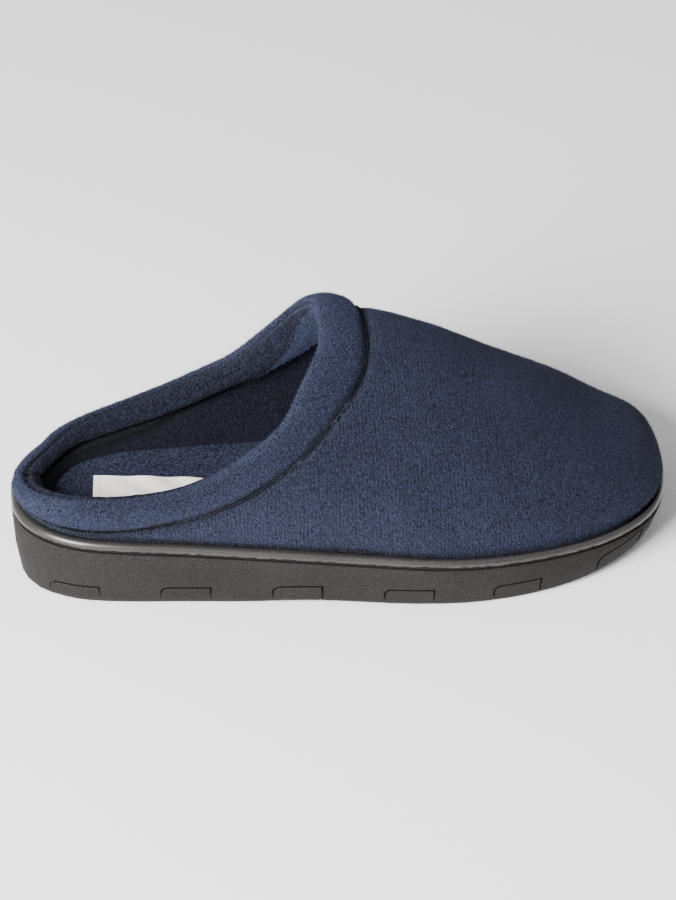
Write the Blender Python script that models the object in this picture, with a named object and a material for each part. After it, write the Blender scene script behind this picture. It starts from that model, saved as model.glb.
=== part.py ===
"""Scuff slipper for the right foot, standing empty on its sole.

A backless house shoe: a moulded rubber sole with a rounded welt bead, one
hollow padded fabric upper with a closed toe, a padded binding rolled round
the collar, a footbed cushion and a blank woven label.

Frame: +X from heel to toe, +Y to the inner side of the foot, +Z up.
All sizes are in metres.  Run it with: blender --background --python part.py
"""

import math

import bmesh
import bpy

for old_object in list(bpy.data.objects):
    bpy.data.objects.remove(old_object, do_unlink=True)

# Driving dimensions of the last
LENGTH = 0.288  # outsole, heel to toe
BALL_WIDTH = 0.116  # outsole across the ball
HEEL_WIDTH = 0.093  # outsole across the heel
INSTEP_HEIGHT = 0.1125  # floor to the top of the instep at the mouth
TOE_HEIGHT = 0.0450  # floor to the ridge line where it runs out over the toe

# Driving dimensions of the sole
HEEL_THICKNESS = 0.0300  # outsole at the back of the heel
BALL_THICKNESS = 0.0205  # outsole under the ball
TOE_THICKNESS = 0.0060  # outsole's edge at the tip of the toe
TOE_SPRING = 0.0090  # lift of the sole's underside at the tip of the toe
ARCH_RISE = 0.0012  # lift of the sole's underside at the waist
EDGE_DRAFT = 0.0025  # how far the side wall leans in towards the floor
EDGE_ROUND = 0.0030  # rounded lower edge of the side wall
WELT_HEIGHT = 0.0054  # bead above the outsole's top
WELT_WIDTH = 0.0052  # ledge that the bead lies on
WELT_PROUD = 0.0006  # bead beyond the side wall
GROOVE_WIDTH = 0.0009  # grooves that outline the side lugs
GROOVE_DEPTH = 0.0011
LUG_LENGTH = 0.0220
LUG_PITCH = 0.0475
LUG_HEIGHT = 0.0104
LUG_CORNER = 0.0032  # rounded upper corner at a lug's heel end
FIRST_LUG = 0.0108  # back of the heel to the first lug

# Driving dimensions of the upper, binding, insole and label
WALL = 0.0045  # padded fabric of the upper
BINDING_WIDTH = 0.0172  # collar binding from its seam to its crest
BINDING_THICKNESS = 0.0118  # collar binding across its padding
INSOLE_THICKNESS = 0.0038
INSOLE_CROWN = 0.0012  # rounding of the insole's edge
LABEL_LENGTH = 0.0620
LABEL_WIDTH = 0.0232
LABEL_THICKNESS = 0.0006
LABEL_SETBACK = 0.0345  # back of the heel to the label's heel end
LABEL_OFFSET = 0.0060  # label's middle from the sole's middle line
LABEL_TURN = -6.5  # degrees, toe end towards the outer side
CLEARANCE = 0.0003  # between pieces that touch

# Mesh fineness
MOUTH_COLUMNS = 27  # columns of the upper from heel to mouth, each side
VAMP_COLUMNS = 14  # columns from mouth to toe, each side
UPPER_ROWS = 8  # rows from the sole to the collar or the ridge
EDGE_STEPS = 40  # steps of an outline from heel to toe, each side
LABEL_STEPS = 6
LUG_STEPS = 5  # steps along a side lug's frame
CORNER_STEPS = 4  # steps round its corner
OUTLINE_STEP = 0.01  # radians either way that give the outline's direction
SHARP_ANGLE = 50.0  # degrees; flatter edges are shaded smooth
COLUMN_FAN = 3  # power by which the upper's columns fan out towards the mouth

# Sole outline: its tips are blunter than an ellipse by this power, and its
# width changes from the heel's to the ball's over these shares of the length
BLUNTNESS = 0.8
WAIST_START = 0.20
WAIST_REACH = 0.40

# Share of the length from the heel, middle line as a share of half the ball
# width, and fullness of the half width
PLAN = (
    # share, middle, fullness
    (0.00, 0.110, 1.320),
    (0.05, 0.108, 1.385),
    (0.12, 0.110, 1.295),
    (0.20, 0.108, 1.185),
    (0.30, 0.090, 1.085),
    (0.42, 0.053, 0.983),
    (0.54, 0.023, 0.969),
    (0.66, 0.003, 1.050),
    (0.78, 0.051, 1.142),
    (0.88, 0.137, 1.224),
    (0.95, 0.207, 1.279),
    (1.00, 0.324, 1.466),
)

# Sections of the last: ridge_y is the ridge's offset as a share of half the
# ball width, ridge_z runs from the toe height (0) to the instep height (1),
# the two rounds are the powers of the section's arch on the inner and the
# outer side, and the two bulges are how far the padded sides swell out, as
# shares of the wall
SECTIONS = (
    # share, ridge_y, ridge_z, inner_round, outer_round, inner_bulge, outer_bulge
    (0.00, 0.11, 1.000, 2.30, 2.30, 0.90, 0.90),
    (0.14, 0.14, 1.000, 2.35, 2.25, 0.95, 0.90),
    (0.30, 0.19, 1.000, 2.50, 2.15, 1.10, 0.95),
    (0.44, 0.25, 1.000, 2.45, 1.90, 1.20, 0.80),
    (0.54, 0.27, 0.896, 2.20, 1.80, 1.20, 0.65),
    (0.63, 0.25, 0.746, 2.10, 1.90, 1.20, 0.55),
    (0.72, 0.22, 0.550, 2.15, 2.05, 1.20, 0.50),
    (0.81, 0.20, 0.335, 2.25, 2.15, 1.20, 0.55),
    (0.90, 0.21, 0.100, 2.45, 2.40, 1.25, 0.80),
    (1.00, 0.26, 0.000, 2.45, 2.45, 1.30, 1.30),
)
HEEL_REACH = 0.20  # share of the length that the heel's arch leans in over
TOE_REACH = 0.10  # share of the length that the toe's arch rounds over
TIP_POWER = 2.5  # how closely both keep to the shoe's two ends
BULGE_TOP = 0.60  # rise, from sole to ridge, where the swelling dies out

# Collar seam, from the back of the heel to the mouth: share of the length,
# rise from sole to ridge on the inner and the outer side, the binding's lean
# from upright towards the heel in degrees, and its width on the inner and the
# outer side as shares of BINDING_WIDTH
COLLAR = (
    # share, inner_rise, outer_rise, lean, inner_width, outer_width
    (0.000, 0.070, 0.070, 0.0, 0.48, 0.48),
    (0.020, 0.070, 0.071, 10.0, 0.49, 0.56),
    (0.070, 0.070, 0.075, 20.0, 0.54, 0.78),
    (0.150, 0.073, 0.105, 31.0, 0.70, 0.92),
    (0.245, 0.140, 0.208, 42.0, 0.83, 0.93),
    (0.345, 0.295, 0.372, 47.0, 0.90, 0.94),
    (0.425, 0.460, 0.550, 57.0, 0.97, 0.97),
    (0.483, 0.640, 0.725, 66.0, 1.02, 1.02),
    (0.522, 0.830, 0.880, 76.0, 1.10, 1.10),
    (0.534, 1.000, 1.000, 90.0, 1.18, 1.18),
)
MOUTH_FOOT = 108.0  # degrees round the outline where the mouth's column stands

# Binding's cross-section, outer edge to inner edge: climb from seam (0) to
# crest (1), and depth from its outer face (0) to its inner face (1)
ROLL = (
    # climb, depth
    (0.00, 0.02),
    (0.14, -0.04),
    (0.36, -0.12),
    (0.60, -0.10),
    (0.82, 0.06),
    (0.96, 0.28),
    (1.00, 0.48),
    (0.96, 0.68),
    (0.82, 0.88),
    (0.60, 0.99),
    (0.36, 0.95),
    (0.14, 0.70),
    (0.00, 0.36),
)

# Underside: where the flat tread ends and the toe spring starts, how steeply
# it curls, and where the waist's arch lies, as shares of the length
SPRING_START = 0.74
SPRING_POWER = 2.2
ARCH_START = 0.30
ARCH_END = 0.56

# Top of the outsole: share of the length over which it falls from the heel,
# and where its drop to the toe starts and how far that would run on
HEEL_FALL = 0.72
TOE_DROP = 0.66
TOE_DROP_REACH = 0.50

# Side wall of the outsole, floor to top: height as a share of the wall, and
# inset as shares of EDGE_DRAFT and of EDGE_ROUND
SIDE_WALL = (
    # height, draft, round
    (0.00, 1.00, 1.00),
    (0.03, 1.00, 0.45),
    (0.12, 1.00, 0.00),
    (0.50, 0.45, 0.00),
    (0.93, 0.00, 0.00),
    (1.00, 0.00, 0.13),
)
LUG_LEAN = 0.60  # the side wall's lean at the lugs, a share of EDGE_DRAFT
LAST_LUG = 0.95  # no lug ends past this share of the length

# Welt bead: heights of its face against the upper as shares of the bead, and
# degrees round its outer face from the top to the bottom
WELT_FACE = (0.0, 0.55, 0.93)
WELT_TURNS = (70.0, 45.0, 20.0, -5.0, -30.0, -55.0, -78.0)

# Rounded top edge of the insole: shares of INSOLE_CROWN below its top, and in
INSOLE_EDGE = ((1.0, 0.0), (0.3, 0.3), (0.0, 1.0))


def column(table, index):
    """One named column of a table of rows."""
    return [row[index] for row in table]


def spline(stations, values, at):
    """Natural cubic spline through a table's column."""
    count = len(stations)
    steps = [stations[i + 1] - stations[i] for i in range(count - 1)]
    slopes = [(values[i + 1] - values[i]) / steps[i] for i in range(count - 1)]
    # Second derivatives, by elimination of the tridiagonal system
    upper = [0.0] * count
    right = [0.0] * count
    for i in range(1, count - 1):
        pivot = 2.0 * (steps[i - 1] + steps[i]) - steps[i - 1] * upper[i - 1]
        upper[i] = steps[i] / pivot
        right[i] = (6.0 * (slopes[i] - slopes[i - 1]) - steps[i - 1] * right[i - 1]) / pivot
    bend = [0.0] * count
    for i in range(count - 2, 0, -1):
        bend[i] = right[i] - upper[i] * bend[i + 1]
    at = min(max(at, stations[0]), stations[-1])
    i = 0
    while i < count - 2 and at > stations[i + 1]:
        i += 1
    run = at - stations[i]
    start_slope = slopes[i] - steps[i] * (2.0 * bend[i] + bend[i + 1]) / 6.0
    cubic = (bend[i + 1] - bend[i]) / (6.0 * steps[i])
    return values[i] + run * (start_slope + run * (bend[i] / 2.0 + run * cubic))


def read(table, index, at):
    """Value of a table's column at a share of the length."""
    return spline(column(table, 0), column(table, index), at)


def mix(low, high, share):
    """Value part of the way from low to high."""
    return low + (high - low) * share


def ease(share):
    """Smooth step from 0 to 1."""
    share = min(max(share, 0.0), 1.0)
    return share * share * (3.0 - 2.0 * share)


def share_at(x):
    """Share of the length at a place along X."""
    return min(max(x / LENGTH + 0.5, 0.0), 1.0)


def shelf_height(share):
    """Height of the outsole's top above the floor."""
    heel = 1.0 - ease(share / HEEL_FALL)
    toe = ease((share - TOE_DROP) / TOE_DROP_REACH) / ease((1.0 - TOE_DROP) / TOE_DROP_REACH)
    tip = TOE_THICKNESS + TOE_SPRING
    height = mix(BALL_THICKNESS, HEEL_THICKNESS, heel)
    return height + (tip - BALL_THICKNESS) * toe


def tread_height(share):
    """Height of the outsole's underside above the floor."""
    spring = max(0.0, (share - SPRING_START) / (1.0 - SPRING_START))
    arch = min(max((share - ARCH_START) / (ARCH_END - ARCH_START), 0.0), 1.0)
    return TOE_SPRING * spring ** SPRING_POWER + ARCH_RISE * math.sin(math.pi * arch) ** 2


def edge_point(side, angle):
    """Sole's edge: side +1 inner, -1 outer; angle 0 at the heel, pi at the toe."""
    share = (1.0 - math.cos(angle)) / 2.0
    half = mix(HEEL_WIDTH, BALL_WIDTH, ease((share - WAIST_START) / WAIST_REACH)) / 2.0
    reach = math.copysign(abs(math.sin(angle)) ** BLUNTNESS, math.sin(angle))
    middle = read(PLAN, 1, share) * BALL_WIDTH / 2.0
    return (share - 0.5) * LENGTH, middle + side * half * read(PLAN, 2, share) * reach


def outline_point(side, angle, inset):
    """Sole's edge moved square to itself, inwards where inset is positive."""
    x, y = edge_point(side, angle)
    back_x, back_y = edge_point(side, angle - OUTLINE_STEP)
    front_x, front_y = edge_point(side, angle + OUTLINE_STEP)
    run_x = front_x - back_x
    run_y = front_y - back_y
    size = math.hypot(run_x, run_y)
    return x + side * run_y / size * inset, y - side * run_x / size * inset


def rise_to_climb(side, share, rise):
    """Angle share, 0 to 1, of the arch that reaches a given rise."""
    roundness = read(SECTIONS, 3 if side > 0 else 4, share)
    return math.asin(min(max(rise, 0.0), 1.0) ** (roundness / 2.0)) * 2.0 / math.pi


def last_point(side, angle, climb, inset):
    """Point of the upper's form: climb 0 at the sole, 1 on the ridge.

    The inset moves it square to the surface, so walls, linings and overlays
    are all the same function at another inset.
    """
    share = (1.0 - math.cos(angle)) / 2.0
    roundness = read(SECTIONS, 3 if side > 0 else 4, share)
    in_share = 1.0 - math.cos(math.pi * climb / 2.0) ** (2.0 / roundness)
    up_share = math.sin(math.pi * climb / 2.0) ** (2.0 / roundness)
    heelward = max(0.0, 1.0 - 2.0 * share) ** TIP_POWER
    toeward = max(0.0, 2.0 * share - 1.0) ** TIP_POWER
    ridge_share = share + HEEL_REACH * heelward - TOE_REACH * toeward
    ridge_x = (ridge_share - 0.5) * LENGTH
    ridge_y = read(SECTIONS, 1, ridge_share) * BALL_WIDTH / 2.0
    swell = read(SECTIONS, 5 if side > 0 else 6, share) * WALL
    swell *= math.sin(math.pi * min(up_share / BULGE_TOP, 1.0))
    foot_x, foot_y = outline_point(side, angle, WELT_WIDTH + inset - swell)
    x = mix(foot_x, ridge_x, in_share)
    y = mix(foot_y, ridge_y, in_share)
    here = share_at(x)
    low = shelf_height(here) + CLEARANCE
    high = mix(TOE_HEIGHT, INSTEP_HEIGHT, read(SECTIONS, 2, here)) - inset
    return x, y, mix(low, high, up_share)


def collar_place(side, turn, climb):
    """Angle and arch share on the binding: turn 0 at the heel, 1 at the mouth."""
    rows = range(len(COLLAR))
    turns = [row / (len(COLLAR) - 1.0) for row in rows]
    angles = [math.acos(1.0 - 2.0 * share) for share in column(COLLAR, 0)]
    angle = spline(turns, angles, turn)
    rise = spline(turns, column(COLLAR, 1 if side > 0 else 2), turn)
    lean = math.radians(spline(turns, column(COLLAR, 3), turn))
    width = BINDING_WIDTH * climb * spline(turns, column(COLLAR, 4 if side > 0 else 5), turn)
    height = INSTEP_HEIGHT - shelf_height((1.0 - math.cos(angle)) / 2.0)
    pace = math.hypot(LENGTH * math.sin(angle), BALL_WIDTH * math.cos(angle)) / 2.0
    angle -= width * math.sin(lean) / pace
    rise = min(1.0, rise + width * math.cos(lean) / height)
    return angle, rise_to_climb(side, (1.0 - math.cos(angle)) / 2.0, rise)


def new_object(name, bm, colour, roughness):
    """Object of a finished mesh, with its own material."""
    bmesh.ops.recalc_face_normals(bm, faces=bm.faces)
    mesh = bpy.data.meshes.new(name)
    bm.to_mesh(mesh)
    bm.free()
    mesh.shade_smooth()
    mesh.set_sharp_from_angle(angle=math.radians(SHARP_ANGLE))
    piece = bpy.data.objects.new(name, mesh)
    bpy.context.scene.collection.objects.link(piece)
    material = bpy.data.materials.new(name)
    material.use_nodes = True
    shader = material.node_tree.nodes["Principled BSDF"]
    shader.inputs["Base Color"].default_value = (*colour, 1.0)
    shader.inputs["Roughness"].default_value = roughness
    shader.inputs["Metallic"].default_value = 0.0
    mesh.materials.append(material)
    return piece


def add_grid(bm, rows):
    """Faces between rows of points; returns the rows of vertices."""
    grid = [[bm.verts.new(point) for point in row] for row in rows]
    for lower, higher in zip(grid, grid[1:]):
        for i in range(len(lower) - 1):
            bm.faces.new((lower[i], lower[i + 1], higher[i + 1], higher[i]))
    return grid


def join_rows(bm, first, second):
    """Strip of faces between two rows of vertices."""
    for i in range(len(first) - 1):
        bm.faces.new((first[i], first[i + 1], second[i + 1], second[i]))


def weld(bm):
    """Joins the edges that lie on each other."""
    bmesh.ops.remove_doubles(bm, verts=bm.verts, dist=0.00001)


def closed_loop(point_at):
    """Points round both sides, heel to toe and back, of point_at(side, angle)."""
    angles = [math.pi * i / EDGE_STEPS for i in range(EDGE_STEPS + 1)]
    inner = [point_at(1, angle) for angle in angles]
    outer = [point_at(-1, angle) for angle in angles[1:-1]]
    return inner + outer[::-1]


def add_ring(bm, loops, closed):
    """Faces between closed loops of points, and back to the first if closed."""
    rings = [[bm.verts.new(point) for point in loop] for loop in loops]
    pairs = list(zip(rings, rings[1:]))
    if closed:
        pairs.append((rings[-1], rings[0]))
    for lower, higher in pairs:
        count = len(lower)
        for i in range(count):
            after = (i + 1) % count
            bm.faces.new((lower[i], lower[after], higher[after], higher[i]))
    return rings


def cap_ring(bm, ring):
    """Faces across a loop of closed_loop, from its inner to its outer side."""
    count = len(ring)
    half = count // 2
    for i in range(half):
        corners = [ring[i], ring[i + 1], ring[(count - i - 1) % count], ring[-i % count]]
        unique = [vert for n, vert in enumerate(corners) if vert not in corners[:n]]
        bm.faces.new(unique)


def make_outsole():
    """Moulded wedge sole: flat tread, toe spring, drafted side and top shelf."""
    bm = bmesh.new()

    def level(height, draft, rounding):
        def point_at(side, angle):
            x, y = outline_point(side, angle, draft * EDGE_DRAFT + rounding * EDGE_ROUND)
            share = share_at(x)
            return x, y, mix(tread_height(share), shelf_height(share), height)
        return closed_loop(point_at)

    rings = add_ring(bm, [level(*step) for step in SIDE_WALL], closed=False)
    cap_ring(bm, rings[0])
    cap_ring(bm, rings[-1])
    sole = new_object("outsole", bm, (0.075, 0.070, 0.068), 0.75)
    cut_lugs(sole)
    return sole


def side_angle(x):
    """Angle round the outline of a place along X."""
    return math.acos(min(max(-2.0 * x / LENGTH, -1.0), 1.0))


def frame_path(start, end):
    """Middle line of a lug's groove, up, round, along and down: x, and height over the tread."""
    below = -GROOVE_WIDTH
    top = LUG_HEIGHT - GROOVE_WIDTH / 2.0
    back = start + GROOVE_WIDTH / 2.0
    front = end - GROOVE_WIDTH / 2.0
    path = [(back, below)]
    for i in range(CORNER_STEPS + 1):
        turn = math.pi / 2.0 * i / CORNER_STEPS
        path.append((back + LUG_CORNER * (1.0 - math.cos(turn)),
                     top - LUG_CORNER * (1.0 - math.sin(turn))))
    path += [(mix(back + LUG_CORNER, front, i / LUG_STEPS), top) for i in range(1, LUG_STEPS)]
    return path + [(front, top), (front, below)]


def beside_path(path, distance):
    """The path moved sideways by a distance, with mitred corners."""
    runs = []
    for (x0, z0), (x1, z1) in zip(path, path[1:]):
        length = math.hypot(x1 - x0, z1 - z0)
        runs.append(((z0 - z1) / length, (x1 - x0) / length))
    moved = []
    for (x, z), (x0, z0), (x1, z1) in zip(path, runs[:1] + runs, runs + runs[-1:]):
        mitre = 2.0 * distance / ((x0 + x1) ** 2 + (z0 + z1) ** 2)
        moved.append((x + (x0 + x1) * mitre, z + (z0 + z1) * mitre))
    return moved


def add_side_groove(bm, side, start, end):
    """Cutter of the groove that frames one side lug, square in section."""
    path = frame_path(start, end)
    edges = (beside_path(path, GROOVE_WIDTH / 2.0), beside_path(path, -GROOVE_WIDTH / 2.0))
    insets = (-2.0 * GROOVE_DEPTH, LUG_LEAN * EDGE_DRAFT + GROOVE_DEPTH)
    rings = []
    for points in zip(*edges):
        ring = []
        for edge, depth in ((0, 0), (0, 1), (1, 1), (1, 0)):
            along, height = points[edge]
            x, y = outline_point(side, side_angle(along), insets[depth])
            ring.append(bm.verts.new((x, y, tread_height(share_at(along)) + height)))
        rings.append(ring)
    for first, second in zip(rings, rings[1:]):
        for k in range(4):
            after = (k + 1) % 4
            bm.faces.new((first[k], first[after], second[after], second[k]))
    bm.faces.new(rings[0])
    bm.faces.new(rings[-1])


def add_tread_groove(bm, x):
    """Cutter of one groove across the tread, at a lug's end."""
    wide = GROOVE_WIDTH / 2.0
    top = tread_height(share_at(x)) + GROOVE_DEPTH
    bounds = ((x - wide, x + wide), (-BALL_WIDTH, BALL_WIDTH), (-GROOVE_DEPTH, top))
    corners = [[[bm.verts.new((a, b, c)) for c in bounds[2]] for b in bounds[1]]
               for a in bounds[0]]
    for quad in (((0, 0, 0), (0, 0, 1), (0, 1, 1), (0, 1, 0)),
                 ((1, 0, 0), (1, 1, 0), (1, 1, 1), (1, 0, 1)),
                 ((0, 0, 0), (1, 0, 0), (1, 0, 1), (0, 0, 1)),
                 ((0, 1, 0), (0, 1, 1), (1, 1, 1), (1, 1, 0)),
                 ((0, 0, 0), (0, 1, 0), (1, 1, 0), (1, 0, 0)),
                 ((0, 0, 1), (1, 0, 1), (1, 1, 1), (0, 1, 1))):
        bm.faces.new([corners[a][b][c] for a, b, c in quad])


def lug_ends():
    """Heel end and toe end, along X, of each side lug."""
    ends = []
    start = FIRST_LUG
    while start + LUG_LENGTH < LENGTH * LAST_LUG:
        ends.append((start - LENGTH / 2.0, start + LUG_LENGTH - LENGTH / 2.0))
        start += LUG_PITCH
    return ends


def cut_lugs(sole):
    """Cuts the grooves that frame the lugs on both sides and the tread bars."""
    frames = bmesh.new()
    bars = bmesh.new()
    for start, end in lug_ends():
        for side in (1, -1):
            add_side_groove(frames, side, start, end)
        add_tread_groove(bars, start + GROOVE_WIDTH / 2.0)
        add_tread_groove(bars, end - GROOVE_WIDTH / 2.0)
    for name, bm in (("lug_frame_cutter", frames), ("tread_bar_cutter", bars)):
        cutter = new_object(name, bm, (0.5, 0.5, 0.5), 0.5)
        cutter.hide_render = True
        cutter.display_type = "WIRE"
        cut = sole.modifiers.new(name, "BOOLEAN")
        cut.operation = "DIFFERENCE"
        cut.solver = "EXACT"
        cut.object = cutter


def make_welt():
    """Rounded rubber bead on the sole's top edge, round the upper's foot."""
    bm = bmesh.new()
    crest = WELT_HEIGHT / 2.0
    reach = (WELT_WIDTH + WELT_PROUD) / 2.0
    middle = reach - WELT_PROUD
    loops = []
    for height in WELT_FACE:
        def inner(side, angle, height=height):
            share = (1.0 - math.cos(angle)) / 2.0
            tall = INSTEP_HEIGHT - shelf_height(share)
            climb = rise_to_climb(side, share, height * WELT_HEIGHT / tall)
            return last_point(side, angle, climb, -CLEARANCE)
        loops.append(closed_loop(inner))
    for turn in WELT_TURNS:
        def outer(side, angle, turn=math.radians(turn)):
            x, y = outline_point(side, angle, middle - reach * math.cos(turn))
            low = shelf_height(share_at(x)) + CLEARANCE
            return x, y, low + crest + crest * math.sin(turn)
        loops.append(closed_loop(outer))
    add_ring(bm, loops, closed=True)
    return new_object("welt", bm, (0.060, 0.057, 0.057), 0.45)


def upper_columns(side, inset):
    """Columns of points from the sole up, heel to toe, at one inset."""
    columns = []
    foot_turn = math.radians(MOUTH_FOOT)
    mouth_angle = collar_place(side, 1.0, 0.0)[0]
    edge_gap = CLEARANCE / BINDING_WIDTH
    for i in range(MOUTH_COLUMNS + VAMP_COLUMNS + 1):
        if i <= MOUTH_COLUMNS:
            turn = i / MOUTH_COLUMNS
            top_angle, top_climb = collar_place(side, turn, -edge_gap)
            if i == MOUTH_COLUMNS:
                top_climb = 1.0
            foot_angle = top_angle + (foot_turn - mouth_angle) * turn ** COLUMN_FAN
        else:
            ahead = (i - MOUTH_COLUMNS) / VAMP_COLUMNS
            top_angle = mix(mouth_angle, math.pi, ahead)
            top_climb = 1.0
            foot_angle = mix(foot_turn, math.pi, ahead)
        points = []
        for j in range(UPPER_ROWS + 1):
            up = j / UPPER_ROWS
            points.append(last_point(side, mix(foot_angle, top_angle, up), top_climb * up, inset))
        columns.append(points)
    return columns


def make_upper():
    """Hollow padded vamp and heel strip: one wall, open at collar and sole."""
    bm = bmesh.new()
    for side in (1, -1):
        skins = [add_grid(bm, upper_columns(side, inset)) for inset in (0.0, WALL)]
        outside, inside = skins
        join_rows(bm, [points[0] for points in outside], [points[0] for points in inside])
        collar = slice(0, MOUTH_COLUMNS + 1)
        join_rows(bm, [points[-1] for points in outside[collar]],
                  [points[-1] for points in inside[collar]])
    weld(bm)
    return new_object("upper", bm, (0.055, 0.068, 0.115), 0.95)


def make_binding():
    """Padded fabric binding, one closed roll round the collar opening."""
    bm = bmesh.new()
    sections = []
    turns = [i / MOUTH_COLUMNS for i in range(MOUTH_COLUMNS + 1)]
    for side, order in ((1, turns), (-1, turns[-2:0:-1])):
        for turn in order:
            section = []
            for climb, depth in ROLL:
                angle, arch = collar_place(side, turn, climb)
                section.append(last_point(side, angle, arch, depth * BINDING_THICKNESS))
            sections.append(section)
    # Each table row makes one closed loop round the collar
    loops = [[section[k] for section in sections] for k in range(len(ROLL))]
    add_ring(bm, loops, closed=True)
    return new_object("collar_binding", bm, (0.060, 0.075, 0.125), 0.95)


def make_insole():
    """Fabric-covered footbed cushion inside the upper's wall."""
    bm = bmesh.new()
    edge = WELT_WIDTH + WALL + CLEARANCE
    steps = [(0.0, 0.0)]
    steps += [(INSOLE_THICKNESS - below * INSOLE_CROWN, inward * INSOLE_CROWN)
              for below, inward in INSOLE_EDGE]

    def level(height, inset):
        def point_at(side, angle):
            x, y = outline_point(side, angle, edge + inset)
            return x, y, shelf_height(share_at(x)) + CLEARANCE + height
        return closed_loop(point_at)

    rings = add_ring(bm, [level(*step) for step in steps], closed=False)
    cap_ring(bm, rings[0])
    cap_ring(bm, rings[-1])
    return new_object("insole", bm, (0.035, 0.042, 0.075), 0.95)


def make_label():
    """Blank woven label on the insole's heel, following its slope."""
    bm = bmesh.new()
    turn = math.radians(LABEL_TURN)
    rows = []
    for i in range(LABEL_STEPS + 1):
        along = LABEL_LENGTH * i / LABEL_STEPS
        row = []
        for across, layer in ((-0.5, 0), (0.5, 0), (0.5, 1), (-0.5, 1)):
            wide = LABEL_WIDTH * across
            x = LABEL_SETBACK - LENGTH / 2.0 + along * math.cos(turn) - wide * math.sin(turn)
            y = LABEL_OFFSET + along * math.sin(turn) + wide * math.cos(turn)
            low = shelf_height(share_at(x)) + INSOLE_THICKNESS + 2.0 * CLEARANCE
            row.append((x, y, low + layer * LABEL_THICKNESS))
        rows.append(row)
    verts = [[bm.verts.new(point) for point in row] for row in rows]
    for first, second in zip(verts, verts[1:]):
        for k in range(4):
            after = (k + 1) % 4
            bm.faces.new((first[k], first[after], second[after], second[k]))
    bm.faces.new(verts[0])
    bm.faces.new(verts[-1])
    return new_object("label", bm, (0.80, 0.78, 0.72), 0.85)


def centre_on_floor(pieces):
    """Puts the origin under the middle of the whole shoe, on the floor."""
    low = [min(v.co[axis] for p in pieces for v in p.data.vertices) for axis in range(3)]
    high = [max(v.co[axis] for p in pieces for v in p.data.vertices) for axis in range(3)]
    shift = (-(low[0] + high[0]) / 2.0, -(low[1] + high[1]) / 2.0, -low[2])
    for piece in bpy.data.objects:
        for vert in piece.data.vertices:
            vert.co.x += shift[0]
            vert.co.y += shift[1]
            vert.co.z += shift[2]


shoe = [make_outsole(), make_welt(), make_upper(), make_binding(), make_insole(), make_label()]
centre_on_floor(shoe)
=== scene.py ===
"""Looks of a scuff slipper: matt rubber sole, glossy welt bead, navy plush upper and blank label."""

import math

import bpy
import numpy as np
from mathutils import Matrix, Vector, noise
from mathutils.bvhtree import BVHTree
from mathutils.kdtree import KDTree


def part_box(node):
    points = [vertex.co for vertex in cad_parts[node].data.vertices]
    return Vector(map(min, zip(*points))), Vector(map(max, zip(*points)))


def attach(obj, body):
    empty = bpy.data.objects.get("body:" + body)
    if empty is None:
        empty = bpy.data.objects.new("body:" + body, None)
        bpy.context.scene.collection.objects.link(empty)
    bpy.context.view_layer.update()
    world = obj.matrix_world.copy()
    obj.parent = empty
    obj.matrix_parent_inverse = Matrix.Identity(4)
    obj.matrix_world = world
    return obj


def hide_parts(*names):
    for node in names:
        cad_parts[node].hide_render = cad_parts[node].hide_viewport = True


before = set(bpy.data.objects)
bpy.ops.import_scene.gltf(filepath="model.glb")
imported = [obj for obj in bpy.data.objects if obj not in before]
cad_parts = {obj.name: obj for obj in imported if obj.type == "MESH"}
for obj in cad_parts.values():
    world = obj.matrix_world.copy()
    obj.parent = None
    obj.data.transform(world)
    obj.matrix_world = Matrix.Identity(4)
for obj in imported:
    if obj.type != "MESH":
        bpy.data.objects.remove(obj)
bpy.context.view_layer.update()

# Outsole
# One moulded wedge of foamed rubber, flat under the heel and the ball and curled up at the toe.
# The mould is sandblasted, so the rubber comes out matt and finely pitted, with thin grooves
# round the side lugs.
SOLE_RUBBER = (0.0038, 0.0033, 0.0030)
SOLE_CHALKY = (0.0200, 0.0172, 0.0157)
SOLE_PIT = 0.00080
SPECK_SHARE = 0.6
SOLE_ROUGHNESS = 0.78
SOLE_PIT_DEPTH = 0.00022
SOLE_CLOUDS = 42.0
# Near-black rubber for painted shade: in the lug grooves and in the joint under the welt bead.
PAINTED_SHADE_RUBBER = (0.0020, 0.0018, 0.0018)
GROOVE_ROUGHNESS = 0.95
GROOVE_PIT_DEPTH = 0.00005
GROOVE_SEARCH = 0.0016
RUBBER_SPECULAR = 0.25
RUBBER_COAT_ROUGHNESS = 0.34
RAY_START = 0.0001
RAY_TILT = 1.5
WAVE_PERIOD = 0.314
SOLE_SHARP = math.radians(40.0)
TREAD_FACING = 0.85
TREAD_RIB = 0.0022
TREAD_DEPTH = 0.0006
SOLE_SHIFTS = (
    # centre, reach and shift: the outer corners of heel and toe are squarer than a plain oval
    ((-0.141, -0.012, 0.018), 0.024, (-0.0022, -0.0022, 0.0)),
    ((-0.137, -0.018, 0.004), 0.013, (-0.0018, -0.0018, 0.0)),
    ((-0.129, -0.026, 0.008), 0.012, (0.0024, -0.0012, 0.0)),
    ((0.120, -0.034, 0.008), 0.030, (0.0012, -0.0012, 0.0)),
)


def put(tree, kind, inputs=None, **settings):
    """A shader node with its settings, and its inputs given as values or as sockets to link."""
    node = tree.nodes.new("ShaderNode" + kind)
    for key, value in settings.items():
        setattr(node, key, value)
    for key, value in (inputs or {}).items():
        if isinstance(value, bpy.types.NodeSocket):
            tree.links.new(value, node.inputs[key])
        else:
            node.inputs[key].default_value = value
    return node


def mixed(tree, factor, first, second):
    """Colour part of the way from the first to the second."""
    node = put(tree, "Mix", {0: factor, 6: first, 7: second}, data_type="RGBA")
    return node.outputs[2]


def opaque(colour):
    """Colour with full alpha."""
    return (*colour, 1.0)


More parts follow.
